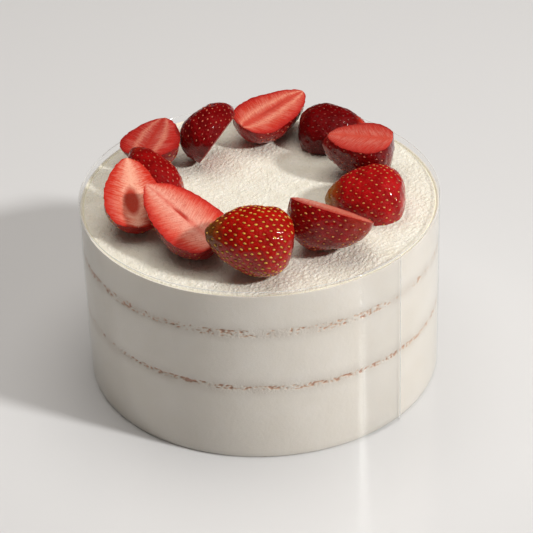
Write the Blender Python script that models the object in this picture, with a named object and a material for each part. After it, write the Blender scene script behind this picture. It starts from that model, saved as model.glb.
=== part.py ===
"""Strawberry cream cake: two thin sponge sheets between three cream layers, a clear film
collar wrapped round the side, and a ring of cut strawberries on the top.

Metres, +Z up. The origin is the centre of the cake's flat underside, and -Y is the front.
"""

import math
import random
from collections import namedtuple

import bmesh
import bpy
from mathutils import Matrix, Vector, noise

MM = 0.001

# Driving sizes
CAKE_RADIUS = 75.0 * MM
CAKE_HEIGHT = 78.0 * MM
FILM_HEIGHT = 80.5 * MM
FILM_THICKNESS = 0.3 * MM
GAP = 0.3 * MM

# Heights of the middle of each sponge sheet, and its thickness
SPONGE_HEIGHTS = (34.0 * MM, 60.5 * MM)
SPONGE_THICKNESS = 4.0 * MM
SPONGE_CRAG = 0.7 * MM

# Film collar: one strip whose free end laps over its start at the front right
FILM_SEAM_ANGLE = math.radians(-58.0)
FILM_OVERLAP = 20.0 * MM
FILM_STEP_ANGLE = math.radians(12.0)
FILM_PIECES = 84

CREAM_RADIUS = CAKE_RADIUS - 2.0 * (FILM_THICKNESS + GAP)
CREAM_SIDES = 72

# Cream top: short scraped ridges inside a groove and a smooth rim that stands against the film
RIM_WIDTH = 2.2 * MM
RIM_GROOVE = 0.5 * MM
SCRAPED_RADIUS = CREAM_RADIUS - 2.0 * RIM_WIDTH
SCRAPE_DEPTH = 0.6 * MM
SCRAPE_LENGTH = 10.0 * MM
SCRAPE_PITCH = 3.4 * MM
SCRAPE_ANGLE = math.radians(50.0)

# Strawberry form, in shares of its length from the calyx to the tip and of its half width
SHOULDER = 0.33
CALYX_WIDTH = 0.50
CALYX_DIMPLE = 0.03
SHOULDER_POWER = 2.2
TAPER_POWER = 1.8
TAPER_ROUND = 0.64
BERRY_LUMPS = 0.07
BERRY_SIDES = 22
BERRY_RINGS = 12

# Seeds: raised pips on every fourth cell of the skin, in a slanting lattice. A pip leaves a share
# of its cell's least width free on each side.
SEED_LATTICE = 4
SEED_MARGIN = 0.3
SEED_RISE = 0.35 * MM
SEED_LEAST_CELL = 1.9 * MM
SEED_FROM_CUT = 2.2 * MM

CREAM_COLOUR = (0.86, 0.82, 0.73)
SPONGE_COLOUR = (0.62, 0.42, 0.27)
FILM_COLOUR = (0.90, 0.92, 0.92)
SKIN_COLOUR = (0.55, 0.02, 0.02)

# One strawberry piece. x and y place the middle of its axis, lift raises it off the cream, yaw is
# the way the tip points from +X towards +Y, tip_up and roll are degrees, and roll 0 turns the cut
# face up. cut is how far the knife went past the axis, and None leaves the berry whole.
Berry = namedtuple("Berry", "name x y lift yaw tip_up roll length width cut")

BERRIES = (
    Berry("strawberry_front", -4.5, -56.5, 0, 181, 13, 180, 35, 28, None),
    Berry("strawberry_front_left", -31, -36.5, 0, 133, 15, -10, 42, 26.5, 0),
    Berry("strawberry_left", -50.6, -15.5, 0, 98, 19, 8, 38, 25.5, -2),
    Berry("strawberry_left_inner", -44, 7, 0, 124, 24, 180, 32, 20, 1),
    Berry("strawberry_back_left", -44.4, 31, 0, 66, 14, -8, 25, 28, -2.9),
    Berry("strawberry_back", -19.15, 35.0, 0, 58, 17, 125, 30, 22.4, 4),
    Berry("strawberry_back_long", 6.9, 52.0, 0, 44, 4, 8, 37, 24, 0),
    Berry("strawberry_back_right", 32.9, 44, 0, -6, 3, 180, 31, 26, 3),
    Berry("strawberry_right_upper", 41.5, 16, 0, 167, 0, 0, 30, 26.5, 4.5),
    Berry("strawberry_right", 43, -11, 0, 174, 0, 180, 33, 28.5, 4),
    Berry("strawberry_front_right", 29.5, -40.5, 0, -36, 0, -32, 34, 33, 1),
)


def clear_scene():
    for obj in list(bpy.data.objects):
        bpy.data.objects.remove(obj)


def material(name, colour, roughness, alpha=1.0):
    made = bpy.data.materials.new(name)
    made.use_nodes = True
    shader = made.node_tree.nodes["Principled BSDF"]
    shader.inputs["Base Color"].default_value = (*colour, 1.0)
    shader.inputs["Roughness"].default_value = roughness
    shader.inputs["Metallic"].default_value = 0.0
    shader.inputs["Alpha"].default_value = alpha
    return made


def add_object(name, bm, finish):
    """Makes a named object of a bmesh, shaded smooth up to sharp edges."""
    mesh = bpy.data.meshes.new(name)
    bm.to_mesh(mesh)
    bm.free()
    mesh.shade_smooth()
    mesh.set_sharp_from_angle(angle=math.radians(40.0))
    mesh.materials.append(finish)
    obj = bpy.data.objects.new(name, mesh)
    bpy.context.scene.collection.objects.link(obj)
    return obj


def spun(profile, axis, steps):
    """A closed solid of revolution about an axis through the origin."""
    bm = bmesh.new()
    verts = [bm.verts.new(place) for place in profile]
    edges = [bm.edges.new(pair) for pair in zip(verts, verts[1:])]
    bmesh.ops.spin(
        bm,
        geom=verts + edges,
        cent=(0.0, 0.0, 0.0),
        axis=axis,
        angle=math.tau,
        steps=steps,
        use_merge=True,
    )
    bmesh.ops.remove_doubles(bm, verts=bm.verts, dist=0.01 * MM)
    bmesh.ops.recalc_face_normals(bm, faces=bm.faces)
    return bm


def plain_disc(name, low, high, radius, finish):
    profile = ((0.0, 0.0, low), (radius, 0.0, low), (radius, 0.0, high), (0.0, 0.0, high))
    return add_object(name, spun(profile, (0.0, 0.0, 1.0), CREAM_SIDES), finish)


def sponge_disc(name, middle, finish, seed):
    """A sheet of sponge whose rim is craggy with crumb, and never stands out of the cream."""
    low = middle - SPONGE_THICKNESS / 2.0
    high = middle + SPONGE_THICKNESS / 2.0
    rim = [(CREAM_RADIUS, 0.0, height) for height in (low, middle, high)]
    bm = spun([(0.0, 0.0, low), *rim, (0.0, 0.0, high)], (0.0, 0.0, 1.0), CREAM_SIDES)
    draw = random.Random(seed)
    for vert in bm.verts:
        if vert.co.xy.length > MM:
            inset = draw.uniform(0.0, SPONGE_CRAG)
            vert.co.xy *= 1.0 - inset / vert.co.xy.length
    return add_object(name, bm, finish)


def scrape_depth(x, y):
    """Depth below the cream top at a place in plan: crests every other row, each fading along it."""
    along = x * math.cos(SCRAPE_ANGLE) + y * math.sin(SCRAPE_ANGLE)
    across = y * math.cos(SCRAPE_ANGLE) - x * math.sin(SCRAPE_ANGLE)
    crest = 0.5 + 0.5 * math.cos(math.pi * across / SCRAPE_PITCH)
    ripple = noise.noise(Vector((along / SCRAPE_LENGTH, across / (2.0 * SCRAPE_PITCH), 0.0)))
    return SCRAPE_DEPTH * (1.0 - crest * min(1.0, max(0.0, 0.55 + 1.5 * ripple)))


def cut_rows(bm, faces, angle, pitch):
    """Cuts faces along parallel upright planes, one every pitch."""
    geometry = set(faces)
    normal = Vector((-math.sin(angle), math.cos(angle), 0.0))
    rows = math.ceil(SCRAPED_RADIUS / pitch)
    for row in range(1 - rows, rows):
        parts = set(geometry)
        for face in geometry:
            parts.update(face.edges)
            parts.update(face.verts)
        cut = bmesh.ops.bisect_plane(
            bm, geom=list(parts), dist=1e-6, plane_co=normal * pitch * row, plane_no=normal
        )
        geometry.update(e for e in cut["geom"] if isinstance(e, bmesh.types.BMFace))
    return geometry


def cream_top(name, low, finish):
    """The top layer: a disc whose upper face has a rim, a groove and scraped ridges."""
    floor = CAKE_HEIGHT - RIM_GROOVE
    profile = (
        (0.0, 0.0, CAKE_HEIGHT),
        (SCRAPED_RADIUS, 0.0, CAKE_HEIGHT),
        (SCRAPED_RADIUS + 0.2 * RIM_WIDTH, 0.0, floor),
        (CREAM_RADIUS - RIM_WIDTH, 0.0, floor),
        (CREAM_RADIUS - 0.8 * RIM_WIDTH, 0.0, CAKE_HEIGHT),
        (CREAM_RADIUS, 0.0, CAKE_HEIGHT),
        (CREAM_RADIUS, 0.0, low),
        (0.0, 0.0, low),
    )
    bm = spun(profile, (0.0, 0.0, 1.0), CREAM_SIDES)
    fan = [f for f in bm.faces if f.normal.z > 0.5 and f.calc_center_median().xy.length < SCRAPED_RADIUS]
    field = bmesh.ops.dissolve_faces(bm, faces=fan)["region"]
    field = cut_rows(bm, field, SCRAPE_ANGLE, SCRAPE_PITCH)
    field = cut_rows(bm, field, SCRAPE_ANGLE + math.pi / 2.0, SCRAPE_LENGTH)
    for vert in {vert for face in field for vert in face.verts}:
        vert.co.z -= scrape_depth(vert.co.x, vert.co.y)
    return add_object(name, bm, finish)


def film_collar(name, finish):
    """One strip of film round the cake. Past a full turn it steps out and laps over its start."""
    middle = CREAM_RADIUS + GAP + FILM_THICKNESS / 2.0
    turn = math.tau + FILM_OVERLAP / CAKE_RADIUS
    bm = bmesh.new()
    bmesh.ops.create_grid(bm, x_segments=FILM_PIECES, y_segments=1, size=0.5)
    for vert in bm.verts:
        angle = turn * (vert.co.x + 0.5)
        share = min(1.0, max(0.0, 1.0 + (angle - math.tau) / FILM_STEP_ANGLE))
        radius = middle + (FILM_THICKNESS + GAP) * share * share * (3.0 - 2.0 * share)
        around = FILM_SEAM_ANGLE + angle
        height = FILM_HEIGHT * (vert.co.y + 0.5)
        vert.co = (radius * math.cos(around), radius * math.sin(around), height)
    film = add_object(name, bm, finish)
    wall = film.modifiers.new("wall", "SOLIDIFY")
    wall.thickness = FILM_THICKNESS
    wall.offset = 0.0
    wall.use_even_offset = True
    return film


def berry_radius(share):
    """Radius of a strawberry, as a share of its half width, at a share of its length."""
    if share < SHOULDER:
        rise = 1.0 - share / SHOULDER
        return 1.0 - (1.0 - CALYX_WIDTH) * rise**SHOULDER_POWER
    fall = (share - SHOULDER) / (1.0 - SHOULDER)
    return max(0.0, 1.0 - fall**TAPER_POWER) ** TAPER_ROUND


def ring_share(ring):
    """Share of the length at a ring of the mesh. The rings lie closer towards the tip."""
    part = ring / BERRY_RINGS
    return part * (1.25 - 0.25 * part)


def seed_cells(bm, berry, rings):
    """The faces of the skin that carry a seed."""
    found = []
    step = math.tau / BERRY_SIDES
    for face in bm.faces:
        middle = face.calc_center_median()
        ring = sum(place < middle.x for place in rings)
        side = math.floor(math.atan2(middle.z, middle.y) / step)
        on_lattice = (side + 2 * ring) % SEED_LATTICE == 0
        broad = len(face.verts) == 4 and min(e.calc_length() for e in face.edges) > SEED_LEAST_CELL
        clear = berry.cut is None or middle.z < berry.cut * MM - SEED_FROM_CUT
        if on_lattice and broad and clear:
            found.append(face)
    return found


def raise_seeds(bm, faces):
    for face in faces:
        margin = SEED_MARGIN * min(e.calc_length() for e in face.edges)
        bmesh.ops.inset_individual(bm, faces=[face], thickness=margin, use_even_offset=True)
    normals = [face.normal.copy() for face in faces]
    pips = bmesh.ops.extrude_discrete_faces(bm, faces=faces)["faces"]
    for pip, normal in zip(pips, normals):
        bmesh.ops.translate(bm, verts=pip.verts, vec=normal * SEED_RISE)


def cut_face(bm, height):
    """Slices off everything above a height and closes the slice."""
    whole = bm.verts[:] + bm.edges[:] + bm.faces[:]
    cut = bmesh.ops.bisect_plane(
        bm, geom=whole, dist=1e-6, plane_co=(0.0, 0.0, height), plane_no=(0.0, 0.0, 1.0), clear_outer=True
    )
    rim = [e for e in cut["geom_cut"] if isinstance(e, bmesh.types.BMEdge)]
    bmesh.ops.contextual_create(bm, geom=rim)


def berry_bmesh(berry, seed):
    """A hulled strawberry along +X, tip at +X, with its cut face towards +Z."""
    length, half_width = berry.length * MM, berry.width * MM / 2.0
    rings = [length * (ring_share(ring) - 0.5) for ring in range(BERRY_RINGS)]
    profile = [(length * (CALYX_DIMPLE - 0.5), 0.0, 0.0)]
    profile += [
        (place, 0.0, half_width * berry_radius(place / length + 0.5)) for place in rings
    ]
    profile.append((length / 2.0, 0.0, 0.0))
    bm = spun(profile, (1.0, 0.0, 0.0), BERRY_SIDES)
    for vert in bm.verts:
        lump = noise.noise(vert.co / (10.0 * MM) + Vector((seed * 7.3, 0.0, 0.0)))
        vert.co.yz *= 1.0 + BERRY_LUMPS * lump
    bm.normal_update()
    raise_seeds(bm, seed_cells(bm, berry, rings))
    if berry.cut is not None:
        cut_face(bm, berry.cut * MM)
    bmesh.ops.recalc_face_normals(bm, faces=bm.faces)
    return bm


def place_berry(berry, seed, finish):
    bm = berry_bmesh(berry, seed)
    turn = (
        Matrix.Rotation(math.radians(berry.yaw), 4, "Z")
        @ Matrix.Rotation(math.radians(-berry.tip_up), 4, "Y")
        @ Matrix.Rotation(math.radians(berry.roll), 4, "X")
    )
    bmesh.ops.transform(bm, matrix=turn, verts=bm.verts)
    lowest = min(vert.co.z for vert in bm.verts)
    rest = CAKE_HEIGHT + GAP + berry.lift * MM
    bmesh.ops.translate(bm, verts=bm.verts, vec=(berry.x * MM, berry.y * MM, rest - lowest))
    return add_object(berry.name, bm, finish)


def main():
    clear_scene()
    cream = material("cream", CREAM_COLOUR, 0.55)
    sponge = material("sponge", SPONGE_COLOUR, 0.85)
    clear_film = material("clear_film", FILM_COLOUR, 0.08, alpha=0.25)
    skin = material("strawberry", SKIN_COLOUR, 0.3)

    half = SPONGE_THICKNESS / 2.0 + GAP
    lower, upper = SPONGE_HEIGHTS
    plain_disc("cream_base", 0.0, lower - half, CREAM_RADIUS, cream)
    sponge_disc("sponge_lower", lower, sponge, seed=1)
    plain_disc("cream_middle", lower + half, upper - half, CREAM_RADIUS, cream)
    sponge_disc("sponge_upper", upper, sponge, seed=2)
    cream_top("cream_top", upper + half, cream)
    film_collar("film_collar", clear_film)
    for number, berry in enumerate(BERRIES):
        place_berry(berry, number, skin)


main()
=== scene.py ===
"""Strawberry cream cake in a clear film collar: the looks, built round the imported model.

A lesson in cells. Metres, +Z up, the cake's front faces -Y.
"""

# %% [markdown]
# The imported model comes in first. Each of its parts is a "node" in its true place, so what is made
# below is laid out from the nodes' own boxes.

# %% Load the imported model
import math
import random
from collections import namedtuple

import bmesh
import bpy
from mathutils import Matrix, Vector, kdtree, noise
from mathutils.bvhtree import BVHTree


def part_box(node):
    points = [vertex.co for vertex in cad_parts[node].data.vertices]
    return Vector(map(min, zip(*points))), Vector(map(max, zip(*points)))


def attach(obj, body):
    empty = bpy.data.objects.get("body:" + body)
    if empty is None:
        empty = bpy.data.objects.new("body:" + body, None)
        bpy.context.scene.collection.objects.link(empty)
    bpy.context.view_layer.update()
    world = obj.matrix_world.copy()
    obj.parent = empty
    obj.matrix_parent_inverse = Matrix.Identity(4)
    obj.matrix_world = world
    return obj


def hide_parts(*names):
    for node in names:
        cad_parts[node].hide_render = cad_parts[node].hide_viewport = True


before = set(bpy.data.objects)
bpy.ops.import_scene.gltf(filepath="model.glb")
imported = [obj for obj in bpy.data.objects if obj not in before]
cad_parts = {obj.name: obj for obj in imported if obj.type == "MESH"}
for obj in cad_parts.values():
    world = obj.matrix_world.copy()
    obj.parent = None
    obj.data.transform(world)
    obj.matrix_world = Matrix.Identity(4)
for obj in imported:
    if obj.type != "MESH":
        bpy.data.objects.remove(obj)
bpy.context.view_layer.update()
MM = 0.001

# %% [markdown]
# The cake is seen from a little above, close enough for a gentle perspective. A long lens from
# almost a metre away gives that. The camera looks at a point inside the cake and is rolled a touch.

# %% Camera
CAMERA_DISTANCE = 0.9566
CAMERA_ELEVATION = math.radians(33.03)
CAMERA_ROLL = math.radians(-1.851)
CAMERA_TARGET = Vector((0.002, 0.0, 0.04395))
CAMERA_LENS = 153.74
SENSOR_WIDTH = 36.0


def add_object(name, data):
    """Puts a camera, a light or a mesh into the scene."""
    made = bpy.data.objects.new(name, data)
    bpy.context.scene.collection.objects.link(made)
    return made


def add_camera():
    back = Vector((0.0, -math.cos(CAMERA_ELEVATION), math.sin(CAMERA_ELEVATION)))
    side = Vector((1.0, 0.0, 0.0))
    up = side.cross(-back)
    right = math.cos(CAMERA_ROLL) * side + math.sin(CAMERA_ROLL) * up
    above = math.cos(CAMERA_ROLL) * up - math.sin(CAMERA_ROLL) * side
    data = bpy.data.cameras.new("camera")
    data.lens = CAMERA_LENS
    data.sensor_width = SENSOR_WIDTH
    camera = add_object("camera", data)
    turned = Matrix((right, above, back)).transposed().to_4x4()
    camera.matrix_world = Matrix.Translation(CAMERA_TARGET + back * CAMERA_DISTANCE) @ turned
    bpy.context.scene.camera = camera
    return camera


print("camera at", [round(v, 3) for v in add_camera().location])

# %% [markdown]
# Colours are easiest to name as they look on a screen, from 0 to 255, but a shader wants them in
# linear light. One helper turns the first into the second.


# %% Colour helper
def tone(red, green, blue):
    """A colour given as on a screen, in the linear values that a shader takes."""
    shares = [channel / 255.0 for channel in (red, green, blue)]
    return tuple(s / 12.92 if s <= 0.04045 else ((s + 0.055) / 1.055) ** 2.4 for s in shares) + (1.0,)


print("mid grey is", round(tone(128, 128, 128)[0], 3), "in linear light")

# %% [markdown]
# The light is low and comes from the front right, so the berries throw shadows to the back left and
# the left of the cake's side lies in shade. One lamp far off makes that light. A pale sky and a
# broad softbox overhead fill the shade. Both are kept out of reflections, because wet fruit would
# mirror them as a grey haze. The view transform is Standard, so that white cream stays white.

# %% Studio light
Light = namedtuple("Light", "azimuth elevation distance size power colour")
KEY = Light(math.radians(-28.0), math.radians(36.0), 2.2, 0.22, 37.0, (1.0, 0.99, 0.97))
SOFTBOX = Light(math.radians(100.0), math.radians(80.0), 1.3, 1.4, 12.0, (1.0, 0.96, 0.91))
SKY_COLOUR = tone(214, 206, 197)
SKY_STRENGTH = 0.19


def add_area_light(name, light):
    data = bpy.data.lights.new(name, "AREA")
    data.shape = "DISK"
    data.size = light.size
    data.energy = light.power
    data.color = light.colour
    lamp = add_object(name, data)
    flat = math.cos(light.elevation)
    way = Vector(
        (flat * math.cos(light.azimuth), flat * math.sin(light.azimuth), math.sin(light.elevation))
    )
    lamp.location = CAMERA_TARGET + way * light.distance
    lamp.rotation_euler = way.to_track_quat("Z", "Y").to_euler()
    return lamp


def set_sky(colour, strength):
    world = bpy.data.worlds.new("pale_sky")
    world.use_nodes = True
    backdrop = world.node_tree.nodes["Background"]
    backdrop.inputs["Color"].default_value = colour
    backdrop.inputs["Strength"].default_value = strength
    world.cycles_visibility.glossy = False
    bpy.context.scene.world = world


add_area_light("key", KEY)
add_area_light("softbox", SOFTBOX).visible_glossy = False
set_sky(SKY_COLOUR, SKY_STRENGTH)
bpy.context.scene.view_settings.view_transform = "Standard"
print("lights:", [lamp.name for lamp in bpy.data.lights])

# %% [markdown]
# The cake stands on a plain pale table. It is a large flat grid. It is smooth enough to throw the
# key light up at the film, which shows there as a soft upright glare.

# %% Table
TABLE_HALF_WIDTH = 3.0
TABLE_TONE = tone(222, 222, 223)
TABLE_ROUGHNESS = 0.15


def start_material(name, roughness, **settings):
    """A material, its node tree and its Principled shader, with plain values set on the shader."""
    made = bpy.data.materials.new(name)
    made.use_nodes = True
    shader = made.node_tree.nodes["Principled BSDF"]
    shader.inputs["Roughness"].default_value = roughness
    for socket, value in settings.items():
        shader.inputs[socket.replace("_", " ")].default_value = value
    return made, made.node_tree, shader


def mesh_of(name, bm):
    mesh = bpy.data.meshes.new(name)
    bm.to_mesh(mesh)
    bm.free()
    return mesh


def add_table():
    bm = bmesh.new()
    bmesh.ops.create_grid(bm, x_segments=2, y_segments=2, size=TABLE_HALF_WIDTH)
    mesh = mesh_of("table", bm)
    mesh.materials.append(start_material("pale_table", TABLE_ROUGHNESS, Base_Color=TABLE_TONE)[0])
    table = add_object("table", mesh)
    return table


print("table faces:", len(add_table().data.polygons))

# %% [markdown]
# Most finishes are a soft change between two looks: cream with a faint cloud, skin with darker
# patches, crumb with holes. A node group holds such an effect once, and each material places it
# with its own values. "mottle" gives a mask of soft patches, "fibres" gives streaks that run across
# a cut berry, and "fine_relief" gives the height for a bump.


# %% Node group helpers
def new_group(name, output, **inputs):
    """A node group with one number out. An input whose value is None is a vector, and else a number."""
    group = bpy.data.node_groups.new(name, "ShaderNodeTree")
    for title, value in inputs.items():
        kind = "NodeSocketVector" if value is None else "NodeSocketFloat"
        socket = group.interface.new_socket(title.replace("_", " "), in_out="INPUT", socket_type=kind)
        if value is not None:
            socket.default_value = value
    group.interface.new_socket(output, in_out="OUTPUT", socket_type="NodeSocketFloat")
    given = group.nodes.new("NodeGroupInput").outputs
    return group, given, group.nodes.new("NodeGroupOutput").inputs[output]


def feed(tree, value, socket):
    """Links an output to a socket, or sets a plain value on it."""
    if isinstance(value, bpy.types.NodeSocket):
        tree.links.new(value, socket)
    elif value is not None:
        socket.default_value = value


def place_node(tree, kind, **values):
    """A new node. Each value is a socket to link to the input of that name, or a number to set."""
    node = tree.nodes.new(kind)
    for title, value in values.items():
        feed(tree, value, node.inputs[title])
    return node


def math_node(tree, operation, first, second=None, clamp=False):
    """A Math node whose inputs are sockets or plain numbers. It returns the output socket."""
    node = tree.nodes.new("ShaderNodeMath")
    node.operation = operation
    node.use_clamp = clamp
    feed(tree, first, node.inputs[0])
    feed(tree, second, node.inputs[1])
    return node.outputs[0]


def times(tree, first, second, clamp=False):
    return math_node(tree, "MULTIPLY", first, second, clamp)


def minus(tree, first, second, clamp=False):
    return math_node(tree, "SUBTRACT", first, second, clamp)


def scaled(tree, vector, size):
    """A vector socket divided by a size, which is a socket or a number."""
    node = tree.nodes.new("ShaderNodeVectorMath")
    node.operation = "SCALE"
    tree.links.new(vector, node.inputs[0])
    tree.links.new(math_node(tree, "DIVIDE", 1.0, size), node.inputs["Scale"])
    return node.outputs[0]


def noise_node(tree, vector, detail):
    node = place_node(tree, "ShaderNodeTexNoise", Scale=1.0, Detail=detail, Vector=vector)
    return node.outputs["Fac"]


# %% Shared effects
FIBRE_STRETCH = 2.2
FIBRE_LEVEL = 0.38
FIBRE_CONTRAST = 4.5
FINE_SIZE = 0.35
FINE_SHARE = 0.4


def mottle_group():
    group, given, result = new_group("mottle", "Mask", Place=None, Patch_Size=5 * MM, Level=0.5, Softness=0.2)
    patches = noise_node(group, scaled(group, given["Place"], given["Patch Size"]), 3.0)
    eased = math_node(group, "DIVIDE", minus(group, patches, given["Level"]), given["Softness"])
    group.links.new(math_node(group, "ADD", eased, 0.5, clamp=True), result)
    return group


def fibres_group():
    group, given, result = new_group("fibres", "Mask", Along=0.0, Across=0.0, Fibre_Width=1.0, Seed=0.0)
    count = math_node(group, "DIVIDE", given["Along"], given["Fibre Width"])
    aside = times(group, given["Across"], FIBRE_STRETCH)
    joined = place_node(group, "ShaderNodeCombineXYZ", X=count, Y=aside, Z=given["Seed"])
    streak = minus(group, noise_node(group, joined.outputs[0], 2.0), FIBRE_LEVEL)
    group.links.new(times(group, streak, FIBRE_CONTRAST, clamp=True), result)
    return group


def fine_relief_group():
    group, given, result = new_group("fine_relief", "Height", Place=None, Grain_Size=1 * MM)
    broad = noise_node(group, scaled(group, given["Place"], given["Grain Size"]), 2.0)
    fine_size = times(group, given["Grain Size"], FINE_SIZE)
    fine = noise_node(group, scaled(group, given["Place"], fine_size), 2.0)
    group.links.new(math_node(group, "ADD", broad, times(group, fine, FINE_SHARE)), result)
    return group


MOTTLE = mottle_group()
FIBRES = fibres_group()
FINE_RELIEF = fine_relief_group()
print("node groups:", [group.name for group in bpy.data.node_groups])

# %% [markdown]
# A material is built from the same few moves each time: a mask chooses between two colours, a
# height goes through a Bump node, and plain numbers are set on the shader itself.


# %% Material helpers
def object_place(tree):
    return tree.nodes.new("ShaderNodeTexCoord").outputs["Object"]


def use_group(tree, group, **values):
    """Places a node group. Each value is a socket to link or a number to set."""
    node = tree.nodes.new("ShaderNodeGroup")
    node.node_tree = group
    for title, value in values.items():
        feed(tree, value, node.inputs[title.replace("_", " ")])
    return node.outputs[0]


def blend_colours(tree, mask, first, second):
    """First colour where the mask is 0 and second where it is 1. Colours are tones or sockets."""
    node = tree.nodes.new("ShaderNodeMix")
    node.data_type = "RGBA"
    tree.links.new(mask, node.inputs[0])
    feed(tree, first, node.inputs[6])
    feed(tree, second, node.inputs[7])
    return node.outputs[2]


def ramp_of(tree, value, stops):
    """A colour ramp over a value: stops are (position, colour)."""
    node = tree.nodes.new("ShaderNodeValToRGB")
    points = node.color_ramp.elements
    points[0].position, points[0].color = stops[0]
    points[1].position, points[1].color = stops[-1]
    for position, colour in stops[1:-1]:
        points.new(position).color = colour
    tree.links.new(value, node.inputs[0])
    return node.outputs[0]


def add_bump(tree, shader, height, distance):
    node = place_node(tree, "ShaderNodeBump", Strength=1.0, Distance=distance, Height=height)
    tree.links.new(node.outputs[0], shader.inputs["Normal"])


def dress(tree, shader, colour, place, grain, distance):
    """Gives a shader its colour, and a bump of fine grains."""
    tree.links.new(colour, shader.inputs["Base Color"])
    add_bump(tree, shader, use_group(tree, FINE_RELIEF, Place=place, Grain_Size=grain), distance)


# %% Numbers from the mesh
def attribute_parts(tree, name):
    """The three numbers of a vector kept on the mesh's own points."""
    node = tree.nodes.new("ShaderNodeAttribute")
    node.attribute_name = name
    return place_node(tree, "ShaderNodeSeparateXYZ", Vector=node.outputs["Vector"]).outputs


def attribute_number(tree, name):
    node = tree.nodes.new("ShaderNodeAttribute")
    node.attribute_name = name
    return node.outputs["Fac"]


# %% [markdown]
# Whipped cream is a warm white. Behind the film it is pressed smooth and a little wet, and a grey
# tint shows where a sponge sheet lies close under it. The tint follows the height, so it is read
# from the Object coordinates. On the top the same cream is dry and rough. A little light goes
# through it, which keeps the shaded sides of its ridges soft.

# %% Cream finishes
CAKE_HEIGHT = 78.0 * MM
CREAM_LIGHT = tone(236, 230, 221)
CREAM_SHADE = tone(228, 221, 210)
CREAM_TINTED = tone(204, 192, 180)
CREAM_TOP_LIGHT = tone(242, 239, 227)
CREAM_TOP_SHADE = tone(231, 226, 210)
# The groove near the rim is painted darker and yellower: painted shade of the film's rim.
GROOVE_PAINTED_SHADE = tone(232, 227, 203)
CREAM_GLOW = (1.0, 0.85, 0.65)
SPONGE_LINES = (34.5 * MM, 60.7 * MM)
TINT_SPREAD = 5 * MM
TINT_STRENGTH = 0.6


def near_lines(tree, place, spread):
    """1 at the height of a sponge sheet, falling to 0 a spread away."""
    split = place_node(tree, "ShaderNodeSeparateXYZ", Vector=place)
    shares = []
    for line in SPONGE_LINES:
        away = math_node(tree, "ABSOLUTE", minus(tree, split.outputs["Z"], line))
        shares.append(minus(tree, 1.0, math_node(tree, "DIVIDE", away, spread), clamp=True))
    return math_node(tree, "MAXIMUM", *shares)


def cream_colour(tree, place):
    patches = use_group(tree, MOTTLE, Place=place, Patch_Size=16 * MM, Softness=0.5)
    plain = blend_colours(tree, patches, CREAM_LIGHT, CREAM_SHADE)
    uneven = use_group(tree, MOTTLE, Place=place, Patch_Size=9 * MM, Level=0.42, Softness=0.4)
    tint = times(tree, near_lines(tree, place, TINT_SPREAD), uneven)
    return blend_colours(tree, times(tree, tint, TINT_STRENGTH), plain, CREAM_TINTED)


def cream_side_material():
    made, tree, shader = start_material(
        "cream_side", 0.42, Subsurface_Weight=0.12, Subsurface_Scale=0.004, Subsurface_Radius=CREAM_GLOW
    )
    place = object_place(tree)
    dress(tree, shader, cream_colour(tree, place), place, 2.5 * MM, 0.12 * MM)
    return made


def cream_top_material():
    made, tree, shader = start_material(
        "cream_top", 0.62, Subsurface_Weight=0.10, Subsurface_Scale=0.003, Subsurface_Radius=CREAM_GLOW
    )
    place = object_place(tree)
    patches = use_group(tree, MOTTLE, Place=place, Patch_Size=6 * MM, Softness=0.5)
    plain = blend_colours(tree, patches, CREAM_TOP_LIGHT, CREAM_TOP_SHADE)
    groove = attribute_number(tree, "groove")
    # The groove is painted darker and yellower, as painted shade of the film's rim.
    colour = blend_colours(tree, groove, plain, GROOVE_PAINTED_SHADE)
    dress(tree, shader, colour, place, 0.8 * MM, 0.5 * MM)
    return made


CREAM_SIDE = cream_side_material()
CREAM_TOP = cream_top_material()
print("cream:", CREAM_SIDE.name, CREAM_TOP.name)

# %% [markdown]
# Sponge shows only as a thin line of crumb, because the cream was smeared over the side. One
# material does both: the mesh carries a number called "crumb", 0 where cream hides the sponge and
# 1 where it is bare, and a fine noise makes the change between them ragged.

# %% Sponge finish
CRUMB_PALE = tone(214, 184, 160)
CRUMB_BROWN = tone(190, 146, 124)
CRUMB_DARK = tone(136, 98, 82)
CRUMB_RAGGED = 0.25
CRUMB_START = 0.08
CRUMB_EDGE = 4.0


def sponge_material():
    made, tree, shader = start_material("sponge_crumb", 0.7)
    place = object_place(tree)
    fine = use_group(tree, MOTTLE, Place=place, Patch_Size=0.7 * MM, Softness=0.6)
    ragged = minus(tree, attribute_number(tree, "crumb"), times(tree, fine, CRUMB_RAGGED))
    bare = ramp_of(
        tree, ragged,
        [(0.0, CRUMB_PALE), (0.35, CRUMB_PALE), (0.6, CRUMB_BROWN), (0.9, CRUMB_BROWN), (1.0, CRUMB_DARK)],
    )
    shown = times(tree, minus(tree, ragged, CRUMB_START), CRUMB_EDGE, clamp=True)
    colour = blend_colours(tree, shown, cream_colour(tree, place), bare)
    dress(tree, shader, colour, place, 0.9 * MM, 0.25 * MM)
    return made


SPONGE_CRUMB = sponge_material()
print("sponge:", SPONGE_CRUMB.name)

# %% [markdown]
# The collar is a clear plastic film. It lets light straight through, so a Transparent shader does
# the clear part and Fresnel decides how much of a mirror shows, more towards the edge of the cake.
# The mirror is a smooth metal, kept to the side that faces out. Where the film was cut it looks
# white, so the mesh marks its rims with a number called "rim", which turns the metal plain white.

# %% Film finish
FILM_WHITE = tone(238, 240, 238)
FILM_IOR = 1.42
RIM_COVER = 0.55


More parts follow.
